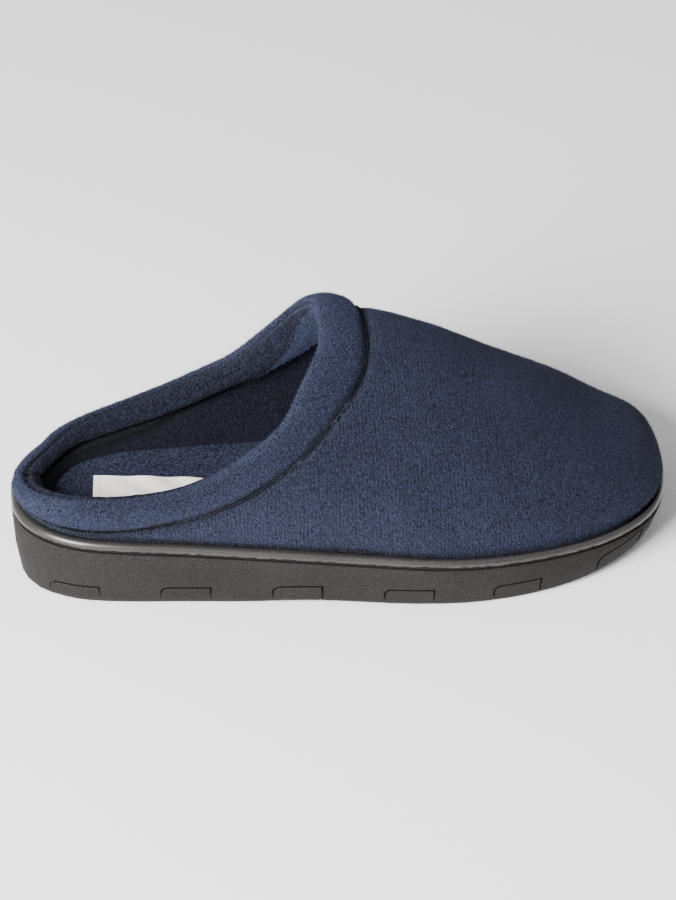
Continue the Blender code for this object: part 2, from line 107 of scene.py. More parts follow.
def new_group(name, inputs, outputs):
    """Empty shader node group with named sockets: each is (name, kind, default)."""
    tree = bpy.data.node_groups.new(name, "ShaderNodeTree")
    for socket_name, kind, default in inputs:
        socket = tree.interface.new_socket(socket_name, in_out="INPUT", socket_type="NodeSocket" + kind)
        socket.default_value = default
    for socket_name, kind in outputs:
        tree.interface.new_socket(socket_name, in_out="OUTPUT", socket_type="NodeSocket" + kind)
    return tree, tree.nodes.new("NodeGroupInput"), tree.nodes.new("NodeGroupOutput")


def rubber_group():
    """Pitted moulded rubber: fine pits, cloudy chalky bloom, and the height of the pits."""
    tree, given, result = new_group(
        "moulded_rubber",
        [("Rubber", "Color", (0.05, 0.05, 0.05, 1.0)), ("Bloom", "Color", (0.1, 0.1, 0.1, 1.0)),
         ("Pits", "Float", 1.0)],
        [("Color", "Color"), ("Height", "Float")])
    place = put(tree, "TexCoord").outputs["Object"]
    fine_place = put(tree, "VectorMath", {0: place, 3: 1.0 / SOLE_PIT}, operation="SCALE").outputs[0]
    pits = put(tree, "TexNoise", {"Vector": fine_place, "Scale": 1.0, "Detail": 2.0}).outputs[0]
    cloud = put(tree, "TexNoise", {"Vector": place, "Scale": SOLE_CLOUDS, "Detail": 4.0}).outputs[0]
    speck = put(tree, "MapRange", {"Value": pits, "From Min": 0.38, "From Max": 0.66}).outputs[0]
    haze = put(tree, "MapRange", {"Value": cloud, "From Min": 0.3, "From Max": 0.8,
                                  "To Min": 0.0, "To Max": 0.3}).outputs[0]
    both = put(tree, "Math", {0: speck, 1: SPECK_SHARE, 2: haze}, operation="MULTIPLY_ADD")
    colour = mixed(tree, both.outputs[0], given.outputs["Rubber"], given.outputs["Bloom"])
    height = put(tree, "Math", {0: pits, 1: given.outputs["Pits"]}, operation="MULTIPLY").outputs[0]
    tree.links.new(colour, result.inputs["Color"])
    tree.links.new(height, result.inputs["Height"])
    return tree


def new_material(name):
    """Material with its tree, its Principled shader and no other node."""
    material = bpy.data.materials.new(name)
    material.use_nodes = True
    tree = material.node_tree
    return material, tree, tree.nodes["Principled BSDF"]


def add_fine_tread(material):
    """Fine straight ribs across the tread, on top of the pits."""
    tree = material.node_tree
    place = put(tree, "TexCoord").outputs["Object"]
    ribs = put(tree, "TexWave", {"Vector": place, "Scale": WAVE_PERIOD / TREAD_RIB, "Distortion": 0.0},
               bands_direction="X").outputs["Fac"]
    shader = tree.nodes["Principled BSDF"]
    pits = shader.inputs["Normal"].links[0].from_socket
    bump = put(tree, "Bump", {"Height": ribs, "Distance": TREAD_DEPTH, "Normal": pits})
    tree.links.new(bump.outputs[0], shader.inputs["Normal"])


rubber = rubber_group()


def rubber_material(name, dark, bloom, roughness, pit_depth, coat=0.0):
    """Moulded rubber with its own colours, roughness, depth of pits and gloss."""
    material, tree, shader = new_material(name)
    skin = put(tree, "Group", node_tree=rubber)
    skin.inputs["Rubber"].default_value = opaque(dark)
    skin.inputs["Bloom"].default_value = opaque(bloom)
    bump = put(tree, "Bump", {"Height": skin.outputs["Height"], "Distance": pit_depth, "Strength": 1.0})
    tree.links.new(skin.outputs["Color"], shader.inputs["Base Color"])
    tree.links.new(bump.outputs[0], shader.inputs["Normal"])
    shader.inputs["Roughness"].default_value = roughness
    shader.inputs["Coat Weight"].default_value = coat
    shader.inputs["Coat Roughness"].default_value = RUBBER_COAT_ROUGHNESS
    shader.inputs["Specular IOR Level"].default_value = RUBBER_SPECULAR
    return material


MERGE = 0.00001
PAIR_ANGLE = math.radians(180.0)


def alone(piece):
    """Selects one piece and makes it active."""
    bpy.ops.object.select_all(action="DESELECT")
    piece.select_set(True)
    bpy.context.view_layer.objects.active = piece


def skin_copy(node, name, pair=True):
    """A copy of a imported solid, its loose triangles merged and paired into four-sided faces."""
    piece = bpy.data.objects.new(name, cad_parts[node].data.copy())
    bpy.context.scene.collection.objects.link(piece)
    alone(piece)
    if piece.data.has_custom_normals:
        bpy.ops.mesh.customdata_custom_splitnormals_clear()
    bpy.ops.object.mode_set(mode="EDIT")
    bpy.ops.mesh.select_all(action="SELECT")
    bpy.ops.mesh.remove_doubles(threshold=MERGE)
    if pair:
        bpy.ops.mesh.tris_convert_to_quads(face_threshold=PAIR_ANGLE, shape_threshold=PAIR_ANGLE)
    bpy.ops.mesh.mark_sharp(clear=True)
    bpy.ops.object.mode_set(mode="OBJECT")
    piece.data.materials.clear()
    return piece


def skin_tree(piece):
    """Search tree of a piece's mesh."""
    return BVHTree.FromPolygons([v.co for v in piece.data.vertices],
                                [f.vertices for f in piece.data.polygons])


def walled_in(tree, centre, normal, reach):
    """True where a face lies in a groove: the straight ray out of it or two tilted ones soon meet a wall."""
    start = centre + normal * RAY_START
    beside = normal.orthogonal().normalized()
    across = normal.cross(beside)
    tilted = [normal + RAY_TILT * step for step in (beside, -beside, across, -across)]
    hits = [tree.ray_cast(start, way.normalized(), reach)[0] is not None for way in tilted]
    return sum(hits) > 1 or tree.ray_cast(start, normal, reach)[0] is not None


def reshape(piece, shifts):
    """Moves a skin softly round listed centres, so that pieces that touch move together."""
    places = np.empty(len(piece.data.vertices) * 3)
    piece.data.vertices.foreach_get("co", places)
    places = places.reshape(-1, 3)
    moved = places.copy()
    for centre, reach, shift in shifts:
        away = np.linalg.norm(places - np.array(centre), axis=1)
        moved += np.exp(-(away / reach) ** 2)[:, None] * np.array(shift)
    piece.data.vertices.foreach_set("co", moved.ravel())
    piece.data.update()


sole = skin_copy("outsole", "moulded_outsole", pair=False)
bpy.ops.object.shade_smooth_by_angle(angle=SOLE_SHARP)
sole.data.materials.append(rubber_material(
    "blasted_sole_rubber", SOLE_RUBBER, SOLE_CHALKY, SOLE_ROUGHNESS, SOLE_PIT_DEPTH))
sole.data.materials.append(rubber_material(
    "painted_shade_groove_rubber", PAINTED_SHADE_RUBBER, PAINTED_SHADE_RUBBER, GROOVE_ROUGHNESS, GROOVE_PIT_DEPTH))
tread_material = rubber_material(
    "fine_tread_rubber", SOLE_RUBBER, SOLE_CHALKY, SOLE_ROUGHNESS, SOLE_PIT_DEPTH)
add_fine_tread(tread_material)
sole.data.materials.append(tread_material)
sole_walls = skin_tree(sole)
# Faces walled in by a groove take the near-black rubber, painted shade in the lug grooves; downward faces
# take the fine tread.
for face in sole.data.polygons:
    if walled_in(sole_walls, face.center, face.normal, GROOVE_SEARCH):
        face.material_index = 1
    elif face.normal.z < -TREAD_FACING:
        face.material_index = 2
reshape(sole, SOLE_SHIFTS)
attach(sole, "root")
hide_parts("outsole")

# Welt bead
# A smooth extruded rubber bead laid round the upper's foot and bonded to the sole's top edge.
# It is glossier than the sole; its downward faces in the joint under it are near-black, painted shade.
WELT_RUBBER = (0.0130, 0.0116, 0.0110)
WELT_BLOOM = (0.0360, 0.0325, 0.0308)
WELT_ROUGHNESS = 0.34
WELT_PIT_DEPTH = 0.00004
WELT_COAT = 0.55
WELT_LEVELS = 2
JOINT_ROUGHNESS = 0.9
JOINT_PIT_DEPTH = 0.00008
JOINT_FACING = 0.18
JOINT_WANDER = 0.22
JOINT_STEP = 0.003


def subdivide(piece, levels):
    """Smooth subdivision, applied."""
    alone(piece)
    smooth = piece.modifiers.new("smooth", "SUBSURF")
    smooth.levels = levels
    smooth.render_levels = levels
    bpy.ops.object.modifier_apply(modifier=smooth.name)
    bpy.ops.object.shade_smooth()


welt = skin_copy("welt", "welt_bead")
subdivide(welt, WELT_LEVELS)
welt.data.materials.append(rubber_material(
    "glossy_welt_rubber", WELT_RUBBER, WELT_BLOOM, WELT_ROUGHNESS, WELT_PIT_DEPTH, WELT_COAT))
welt.data.materials.append(rubber_material(
    "painted_shade_joint_rubber", PAINTED_SHADE_RUBBER, PAINTED_SHADE_RUBBER, JOINT_ROUGHNESS, JOINT_PIT_DEPTH))
# Downward faces along the joint, with a wandering edge, take the near-black rubber: painted shade under the
# bead.
for face in welt.data.polygons:
    if face.normal.z < JOINT_WANDER * noise.noise(face.center / JOINT_STEP) - JOINT_FACING:
        face.material_index = 1
reshape(welt, SOLE_SHIFTS)
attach(welt, "root")
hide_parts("welt")

# Upper
# Navy plush over thin foam, lined and lasted in one hollow shell: a closed toe and vamp, and a
# low strip round the heel. Its foot is tucked behind the bead and its top edge is sewn to the
# collar binding, so the padding swells between those two lines.
PLUSH_ROOT = (0.0013, 0.0018, 0.0048)
PLUSH_TIP = (0.0200, 0.0232, 0.0500)
# Lining colours, darker than the outer plush: painted shade inside the shell.
SHADED_LINING_ROOT = (0.0004, 0.0006, 0.0017)
SHADED_LINING_TIP = (0.0062, 0.0072, 0.0165)
PLUSH_DEPTH = 0.0011
PLUSH_ROUGHNESS = 0.95
PLUSH_SPECULAR = 0.15
LINING_PILE = 0.0011
LINING_DEPTH = 0.0008
SHEEN = 0.09
LINING_SHEEN = 0.03
SHEEN_ROUGHNESS = 0.45
SHEEN_TINT = (0.55, 0.64, 1.0)
PILE = 0.00088
BRUSHED_PATCHES = 36.0
WALE = 0.0017
VAMP_WALES = 0.06
VAMP_LAY = (1.2, 1.0, 0.75)
EVEN_LAY = (1.0, 1.0, 1.0)
VAMP_LEVELS = 3
CORNER_ANGLE = math.radians(50.0)
CORNER_CREASE = 0.8
SEAM_DEPTH = 0.0020
SEAM_REACH = 0.0026
TUCK_SHARE = 0.72
TUCK_SHADOW = 0.3
FOOT_DEPTH = 0.0006
FOOT_REACH = 0.0018
LUMP_SIZE = 0.018
LUMP_HEIGHT = 0.00035
TUFT_SIZE = 0.0026
TUFT_HEIGHT = 0.00012
VAMP_FIBRES = 60000
VAMP_FIBRE_LENGTH = 0.0009
FIBRE_SINK = 0.0003
FIBRE_LEAN = 0.35
FIBRE_LAY = (0.35, 0.0, -0.25)
FIBRE_WIDTH = 0.00013
FIBRE_SPREAD = (0.6, 1.3)
FIBRE_BRIGHT = 2.6
FIBRE_ROUGHNESS = 0.8
FIBRE_SPECULAR = 0.2
FIBRE_TUCK_POWER = 3
OUTER_SEAM = (-0.112, -0.082)
INNER_SEAM = (-0.105, -0.065)
MIDDLE_BACK = -0.098
MIDDLE_FRONT = 0.096
MIDDLE_Y = 0.004
MIDDLE_Z = 0.034
LINING_PAD = 0.0090
LINING_PAD_LEVEL = 0.031
LINING_PAD_HEIGHT = 0.009
LINING_PAD_ENDS = (-0.030, 0.0)
FOLD_EDGE = 3.0
SOFT_SHIFTS = SOLE_SHIFTS + (
    # centre, reach and shift: the roll from the heel round the outer and inner sides, then the vamp
    ((-0.134, 0.030, 0.051), 0.020, (0.0030, -0.0036, -0.0012)),
    ((-0.143, 0.002, 0.042), 0.019, (-0.0023, 0.0, -0.0006)),
    ((-0.1285, -0.006, 0.052), 0.016, (-0.0005, 0.0008, 0.0044)),
    ((-0.117, -0.024, 0.058), 0.018, (0.0, 0.0008, 0.0044)),
    ((-0.098, -0.030, 0.061), 0.018, (0.0, 0.0, 0.0030)),
    ((-0.017, -0.014, 0.098), 0.018, (-0.0040, 0.0, 0.0020)),
    ((-0.020, 0.037, 0.092), 0.022, (-0.0015, 0.0, 0.0100)),
    ((-0.034, 0.043, 0.078), 0.014, (0.0, 0.0, 0.0030)),
    ((-0.060, 0.047, 0.060), 0.022, (0.0, 0.0, 0.0022)),
    ((-0.090, 0.045, 0.049), 0.022, (0.0, 0.0, 0.0024)),
    ((0.030, 0.020, 0.098), 0.030, (0.0, 0.0, 0.0024)),
    ((0.057, 0.021, 0.083), 0.016, (0.0, 0.0, 0.0018)),
    ((0.130, 0.027, 0.042), 0.016, (0.0, 0.0, -0.0018)),
)
VAMP_FOLDS = (
    # x and y of one end, x and y of the other, width, depth (a ridge where negative)
    (0.046, -0.034, 0.060, 0.026, 0.0120, 0.0006),
    (0.074, -0.030, 0.086, 0.030, 0.0120, -0.0003),
    (0.016, -0.050, 0.036, -0.030, 0.0060, -0.0004),
    (-0.012, -0.052, 0.010, -0.046, 0.0050, 0.0005),
    (0.022, 0.038, 0.040, 0.050, 0.0060, 0.0005),
    (0.020, 0.000, 0.048, 0.010, 0.0090, -0.0005),
)


def plush_group():
    """Short pile: curly tufts, faint knitted wales, brushed patches, painted shade in the sewn tucks, and
    the tufts' height.
    """
    tree, given, result = new_group(
        "short_plush",
        [("Root", "Color", (0.02, 0.02, 0.05, 1.0)), ("Tip", "Color", (0.1, 0.1, 0.2, 1.0)),
         ("Pile", "Float", 1.0 / PILE), ("Lay", "Vector", (1.0, 1.0, 1.0)),
         ("Brushed", "Float", 0.12), ("Wales", "Float", 0.0)],
        [("Color", "Color"), ("Height", "Float")])
    place = put(tree, "TexCoord").outputs["Object"]
    laid = put(tree, "VectorMath", {0: place, 1: given.outputs["Lay"]}, operation="MULTIPLY").outputs[0]
    fine_place = put(tree, "VectorMath", {0: laid, 3: given.outputs["Pile"]}, operation="SCALE").outputs[0]
    tufts = put(tree, "TexNoise", {"Vector": fine_place, "Scale": 1.0, "Detail": 3.0,
                                   "Roughness": 0.65, "Distortion": 0.6}).outputs[0]
    curls = put(tree, "TexVoronoi", {"Vector": fine_place, "Scale": 1.1}).outputs["Distance"]
    patches = put(tree, "TexNoise", {"Vector": place, "Scale": BRUSHED_PATCHES, "Detail": 3.0}).outputs[0]
    knitted = put(tree, "TexWave", {"Vector": place, "Scale": WAVE_PERIOD / WALE, "Distortion": 2.5,
                                    "Detail": 2.0, "Detail Scale": 0.6}).outputs["Fac"]
    ridged = put(tree, "Mix", {0: given.outputs["Wales"], 2: tufts, 3: knitted}).outputs[0]
    lifted = put(tree, "MapRange", {"Value": ridged, "From Min": 0.40, "From Max": 0.62}).outputs[0]
    gaps = put(tree, "MapRange", {"Value": curls, "From Min": 0.2, "From Max": 0.9,
                                  "To Min": 1.0, "To Max": 0.0}).outputs[0]
    height = put(tree, "Math", {0: lifted, 1: gaps}, operation="MULTIPLY").outputs[0]
    swept = put(tree, "MapRange", {"Value": patches, "From Min": 0.35, "From Max": 0.65,
                                   "To Min": -0.5, "To Max": 0.5}).outputs[0]
    shade = put(tree, "Math", {0: swept, 1: given.outputs["Brushed"], 2: lifted},
                operation="MULTIPLY_ADD", use_clamp=True).outputs[0]
    pile = mixed(tree, shade, given.outputs["Root"], given.outputs["Tip"])
    # Painted shade: the colour darkens towards a fraction of the root colour where the tuck mark lies.
    shadow = put(tree, "VectorMath", {0: given.outputs["Root"], 3: TUCK_SHADOW},
                 operation="SCALE").outputs[0]
    tuck = put(tree, "Attribute", attribute_name="tuck").outputs["Fac"]
    tree.links.new(mixed(tree, tuck, pile, shadow), result.inputs["Color"])
    tree.links.new(height, result.inputs["Height"])
    return tree


plush = plush_group()


def plush_material(name, root, tip, pile, lay, depth, sheen, wales=0.0):
    """Plush with its own colours, size of tuft, lay of the pile, depth, sheen and share of wales."""
    material, tree, shader = new_material(name)
    nap = put(tree, "Group", node_tree=plush)
    nap.inputs["Root"].default_value = opaque(root)
    nap.inputs["Tip"].default_value = opaque(tip)
    nap.inputs["Pile"].default_value = 1.0 / pile
    nap.inputs["Lay"].default_value = lay
    nap.inputs["Wales"].default_value = wales
    bump = put(tree, "Bump", {"Height": nap.outputs["Height"], "Distance": depth, "Strength": 1.0})
    tree.links.new(nap.outputs["Color"], shader.inputs["Base Color"])
    tree.links.new(bump.outputs[0], shader.inputs["Normal"])
    shader.inputs["Roughness"].default_value = PLUSH_ROUGHNESS
    shader.inputs["Specular IOR Level"].default_value = PLUSH_SPECULAR
    shader.inputs["Sheen Weight"].default_value = sheen
    shader.inputs["Sheen Roughness"].default_value = SHEEN_ROUGHNESS
    shader.inputs["Sheen Tint"].default_value = opaque(SHEEN_TINT)
    return material


def mark_tuck(piece, shares):
    """Stores how deep each vertex lies in a sewn tuck, the deepest of what was marked before: the plush
    paints shade there, and fewer fibres grow.
    """
    layer = piece.data.attributes.get("tuck") or piece.data.attributes.new("tuck", "FLOAT", "POINT")
    for point, share in zip(layer.data, shares):
        point.value = max(point.value, share)


def ease(value, start, end):
    """Smooth step from 0 at the start to 1 at the end."""
    share = min(max((value - start) / (end - start), 0.0), 1.0)
    return share * share * (3.0 - 2.0 * share)


def seam_share(place):
    """How open the collar seam lies: nothing at the heel, where the bead covers it."""
    start, end = OUTER_SEAM if place.y < 0.0 else INNER_SEAM
    return ease(place.x, start, end)


def press_in(piece, neighbour, depth, reach):
    """Draws a padded skin in beside the neighbour that it is sewn to, deepest at the stitches."""
    tree = skin_tree(neighbour)
    piece.data.update()
    normals = [vert.normal.copy() for vert in piece.data.vertices]
    tucks = []
    for vert, normal in zip(piece.data.vertices, normals):
        nearest, _, _, distance = tree.find_nearest(vert.co)
        towards = (nearest - vert.co).normalized()
        inward = normal - towards * normal.dot(towards)
        # The tuck mark feeds the plush's painted shade along the seam.
        tucks.append(math.exp(-(distance / (TUCK_SHARE * reach)) ** 2))
        vert.co -= inward * depth * math.exp(-(distance / reach) ** 2) * seam_share(vert.co)
    mark_tuck(piece, tucks)


def fold(piece, folds):
    """Soft troughs and ridges, each between two places seen from above."""
    piece.data.update()
    normals = [vert.normal.copy() for vert in piece.data.vertices]
    for x0, y0, x1, y1, width, depth in folds:
        run = Vector((x1 - x0, y1 - y0))
        for vert, normal in zip(piece.data.vertices, normals):
            offset = Vector((vert.co.x - x0, vert.co.y - y0))
            along = min(max(offset.dot(run) / run.length_squared, 0.0), 1.0)
            away = (offset - run * along).length
            if away < FOLD_EDGE * width:
                vert.co -= normal * depth * math.exp(-(away / width) ** 2)


def abreast(place, front=MIDDLE_FRONT):
    """The place on the shoe's middle line that lies abreast of another, at the same height."""
    return Vector((min(max(place.x, MIDDLE_BACK), front), MIDDLE_Y, place.z))


def faces_inwards(face):
    """True for the faces that the foot touches: they look at the middle of the shoe."""
    middle = abreast(face.center)
    middle.z = MIDDLE_Z
    return face.normal.dot(middle - face.center) > 0.0


def pad_lining(piece):
    """Stuffs the lining out over the footbed's edge round the heel; the outside stays."""
    piece.data.update()
    normals = [vert.normal.copy() for vert in piece.data.vertices]
    for vert, normal in zip(piece.data.vertices, normals):
        middle = abreast(vert.co)
        if normal.dot(middle - vert.co) <= 0.0:
            continue
        length = 1.0 - ease(vert.co.x, *LINING_PAD_ENDS)
        height = math.exp(-((vert.co.z - LINING_PAD_LEVEL) / LINING_PAD_HEIGHT) ** 2)
        vert.co += (middle - vert.co).normalized() * LINING_PAD * length * height


def lump(piece, size, height, seed):
    """Uneven stuffing: slow swells of the skin along its own normals."""
    piece.data.update()
    normals = [vert.normal.copy() for vert in piece.data.vertices]
    offset = Vector((seed, seed, seed))
    for vert, normal in zip(piece.data.vertices, normals):
        vert.co += normal * height * noise.noise(vert.co / size + offset)


def pile_fibres(piece, name, count, length, tint, seed):
    """Loose fibres of the pile: thin three-sided spikes that stand out of a piece's first material."""
    mesh = piece.data
    mesh.calc_loop_triangles()
    points = np.empty(len(mesh.vertices) * 3)
    mesh.vertices.foreach_get("co", points)
    points = points.reshape(-1, 3)
    corners = np.empty(len(mesh.loop_triangles) * 3, dtype=int)
    mesh.loop_triangles.foreach_get("vertices", corners)
    corners = corners.reshape(-1, 3)
    slots = np.empty(len(mesh.loop_triangles), dtype=int)
    mesh.loop_triangles.foreach_get("material_index", slots)
    first, second, third = (points[corners[:, k]] for k in range(3))
    facing = np.cross(second - first, third - first)
    areas = np.linalg.norm(facing, axis=1)
    facing /= np.maximum(areas, 1e-12)[:, None]
    tucks = np.empty(len(mesh.vertices))
    mesh.attributes["tuck"].data.foreach_get("value", tucks)
    flat = 1.0 - tucks[corners].max(axis=1)
    areas = np.where(slots == 0, areas * flat ** FIBRE_TUCK_POWER, 0.0)
    chance = np.random.default_rng(seed)
    chosen = chance.choice(len(areas), count, p=areas / areas.sum())
    u, v = chance.random((2, count, 1))
    over = u + v > 1.0
    u, v = np.where(over, 1.0 - u, u), np.where(over, 1.0 - v, v)
    roots = first[chosen] + u * (second - first)[chosen] + v * (third - first)[chosen]
    upright = facing[chosen]
    roots -= upright * FIBRE_SINK
    lean = upright + chance.normal(size=(count, 3)) * FIBRE_LEAN + np.array(FIBRE_LAY)
    lean /= np.linalg.norm(lean, axis=1)[:, None]
    tips = roots + lean * (length * chance.uniform(*FIBRE_SPREAD, (count, 1)) + FIBRE_SINK)
    beside = np.cross(upright, chance.normal(size=(count, 3)))
    beside *= FIBRE_WIDTH / 2.0 / np.linalg.norm(beside, axis=1)[:, None]
    across = np.cross(upright, beside)
    feet = [roots + math.cos(turn) * beside + math.sin(turn) * across
            for turn in (0.0, math.tau / 3.0, math.tau * 2.0 / 3.0)]
    verts = np.stack((*feet, tips), axis=1).reshape(-1, 3)
    spikes = 4 * np.arange(count)[:, None] + np.array((0, 1, 3, 1, 2, 3, 2, 0, 3))
    skin = bpy.data.meshes.new(name)
    skin.from_pydata(verts.tolist(), [], spikes.reshape(-1, 3).tolist())
    fibres = bpy.data.objects.new(name, skin)
    bpy.context.scene.collection.objects.link(fibres)
    material, tree, shader = new_material(name)
    nap = put(tree, "Group", node_tree=plush)
    nap.inputs["Root"].default_value = opaque(tint)
    nap.inputs["Tip"].default_value = opaque([FIBRE_BRIGHT * part for part in tint])
    tree.links.new(nap.outputs["Color"], shader.inputs["Base Color"])
    shader.inputs["Roughness"].default_value = FIBRE_ROUGHNESS
    shader.inputs["Specular IOR Level"].default_value = FIBRE_SPECULAR
    skin.materials.append(material)
    return fibres


def crease_corners(piece, angle, crease):
    """Creases the edges sharper than an angle, so that subdivision keeps them."""
    alone(piece)
    bpy.ops.object.mode_set(mode="EDIT")
    bpy.ops.mesh.select_all(action="DESELECT")
    bpy.ops.mesh.select_mode(type="EDGE")
    bpy.ops.mesh.edges_select_sharp(sharpness=angle)
    bpy.ops.transform.edge_crease(value=crease)
    bpy.ops.object.mode_set(mode="OBJECT")


vamp = skin_copy("upper", "plush_upper")
crease_corners(vamp, CORNER_ANGLE, CORNER_CREASE)
subdivide(vamp, VAMP_LEVELS)
lump(vamp, LUMP_SIZE, LUMP_HEIGHT, seed=3.0)
lump(vamp, TUFT_SIZE, TUFT_HEIGHT, seed=8.0)
press_in(vamp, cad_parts["collar_binding"], SEAM_DEPTH, SEAM_REACH)
press_in(vamp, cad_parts["welt"], FOOT_DEPTH, FOOT_REACH)
fold(vamp, VAMP_FOLDS)
vamp.data.materials.append(plush_material(
    "navy_vamp_plush", PLUSH_ROOT, PLUSH_TIP, PILE, VAMP_LAY, PLUSH_DEPTH, SHEEN, wales=VAMP_WALES))
vamp.data.materials.append(plush_material(
    "navy_lining_plush_painted_shade", SHADED_LINING_ROOT, SHADED_LINING_TIP, LINING_PILE, EVEN_LAY, LINING_DEPTH, LINING_SHEEN))
# Faces that look into the shoe take the darker lining plush: painted shade.
for face in vamp.data.polygons:
    if faces_inwards(face):
        face.material_index = 1
pad_lining(vamp)
reshape(vamp, SOFT_SHIFTS)
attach(vamp, "root")
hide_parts("upper")
vamp_fibres = pile_fibres(vamp, "vamp_pile", VAMP_FIBRES, VAMP_FIBRE_LENGTH, PLUSH_TIP, seed=11)
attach(vamp_fibres, "root")

# Collar binding
# A strip of the same plush sewn to the upper's edge, turned over a foam roll and caught down
# inside. Its two ends meet in an upright seam at the back of the heel.
# The turned-in side's colours, darker than the same plush outside: painted shade inside the collar.
SHADED_TURNED_ROOT = (0.0007, 0.0009, 0.0024)
SHADED_TURNED_TIP = (0.0135, 0.0150, 0.0320)
TURNED_DEPTH = 0.0010
BINDING_LEVELS = 3
BINDING_LUMP_HEIGHT = 0.000455
BINDING_TUFT_HEIGHT = 0.00018
BINDING_FIBRES = 45000
BINDING_FIBRE_LENGTH = 0.0010
LENGTHWAYS = 0.0062
COLLAR_FRONT = -0.040
BUTT_SEAM_Y = 0.0085
BUTT_SEAM_DEPTH = 0.0017
BUTT_SEAM_REACH = 0.0022
BUTT_SEAM_FRONT = -0.122
CREASE_START = Vector((-0.0477, 0.0435, 0.0640))
CREASE_DEPTH = 0.0016
CREASE_REACH = 0.0013
CREASE_SAMPLES = 12


def loop_through(piece, place):
    """Places along the edge loop, lengthways round the collar, that passes nearest to a place."""
    mesh = piece.data
    ends = [(mesh.vertices[edge.vertices[0]].co, mesh.vertices[edge.vertices[1]].co)
            for edge in mesh.edges]
    lengthways = [i for i, (a, b) in enumerate(ends) if (b - a).length > LENGTHWAYS]
    nearest = min(lengthways, key=lambda i: ((ends[i][0] + ends[i][1]) / 2.0 - place).length)
    alone(piece)
    bpy.ops.object.mode_set(mode="EDIT")
    bpy.ops.mesh.select_mode(type="EDGE")
    bpy.ops.mesh.select_all(action="DESELECT")
    bpy.ops.object.mode_set(mode="OBJECT")
    mesh.edges[nearest].select = True
    bpy.ops.object.mode_set(mode="EDIT")
    bpy.ops.mesh.loop_multi_select(ring=False)
    bpy.ops.object.mode_set(mode="OBJECT")
    places = []
    for edge in mesh.edges:
        if edge.select:
            a, b = (mesh.vertices[i].co for i in edge.vertices)
            places += [a.lerp(b, i / CREASE_SAMPLES) for i in range(CREASE_SAMPLES)]
    return places


def sew_line(piece, places, depth, reach):
    """A sewn crease along a row of places; returns the search tree of the places."""
    row = KDTree(len(places))
    for i, place in enumerate(places):
        row.insert(place, i)
    row.balance()
    piece.data.update()
    normals = [vert.normal.copy() for vert in piece.data.vertices]
    tucks = []
    for vert, normal in zip(piece.data.vertices, normals):
        distance = row.find(vert.co)[2]
        # The tuck mark feeds the plush's painted shade along the crease.
        tucks.append(math.exp(-(distance / (TUCK_SHARE * reach)) ** 2))
        vert.co -= normal * depth * math.exp(-(distance / reach) ** 2)
    mark_tuck(piece, tucks)
    return row


binding = skin_copy("collar_binding", "rolled_collar_binding")
crease_places = loop_through(binding, CREASE_START)
subdivide(binding, BINDING_LEVELS)
lump(binding, LUMP_SIZE, BINDING_LUMP_HEIGHT, seed=5.0)
lump(binding, TUFT_SIZE, BINDING_TUFT_HEIGHT, seed=9.0)
press_in(binding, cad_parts["upper"], SEAM_DEPTH, SEAM_REACH)
crease_row = sew_line(binding, crease_places, CREASE_DEPTH, CREASE_REACH)
butt_places = [vert.co.copy() for vert in binding.data.vertices
               if abs(vert.co.y - BUTT_SEAM_Y) < BUTT_SEAM_REACH and vert.co.x < BUTT_SEAM_FRONT]
for place in butt_places:
    place.y = BUTT_SEAM_Y
sew_line(binding, butt_places, BUTT_SEAM_DEPTH, BUTT_SEAM_REACH)
binding.data.materials.append(plush_material(
    "navy_binding_plush", PLUSH_ROOT, PLUSH_TIP, PILE, EVEN_LAY, PLUSH_DEPTH, SHEEN))
binding.data.materials.append(plush_material(
    "navy_binding_lining_painted_shade", SHADED_TURNED_ROOT, SHADED_TURNED_TIP, LINING_PILE, EVEN_LAY, TURNED_DEPTH, LINING_SHEEN))
# Faces on the inner side of the crease take the darker turned plush: painted shade.
for face in binding.data.polygons:
    crease_place = crease_row.find(face.center)[0]
    middle = abreast(face.center, COLLAR_FRONT)
    if (face.center - crease_place).dot(middle - face.center) > 0.0:
        face.material_index = 1
reshape(binding, SOFT_SHIFTS)
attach(binding, "root")
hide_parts("collar_binding")
binding_fibres = pile_fibres(
    binding, "binding_pile", BINDING_FIBRES, BINDING_FIBRE_LENGTH, PLUSH_TIP, seed=12)
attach(binding_fibres, "root")

# Insole
# A foam footbed covered with the same plush, lying loose inside the upper from edge to edge. It
# sinks a little at the heel, and its pile is a shallow, even one.
# Colours lighter than the same plush on the upper: painted light on the upturned footbed.
LIT_FOOTBED_ROOT = (0.0016, 0.0020, 0.0052)
LIT_FOOTBED_TIP = (0.0300, 0.0330, 0.0680)
FOOTBED_DEPTH = 0.0006
FOOTBED_VOXEL = 0.0014
FOOTBED_RELAX = 0.5
FOOTBED_RELAX_ROUNDS = 6
FOOTBED_SINK = 0.0028
FOOTBED_SINK_ENDS = (-0.080, 0.020)
FOOTBED_SINK_LEVELS = (0.018, 0.026)

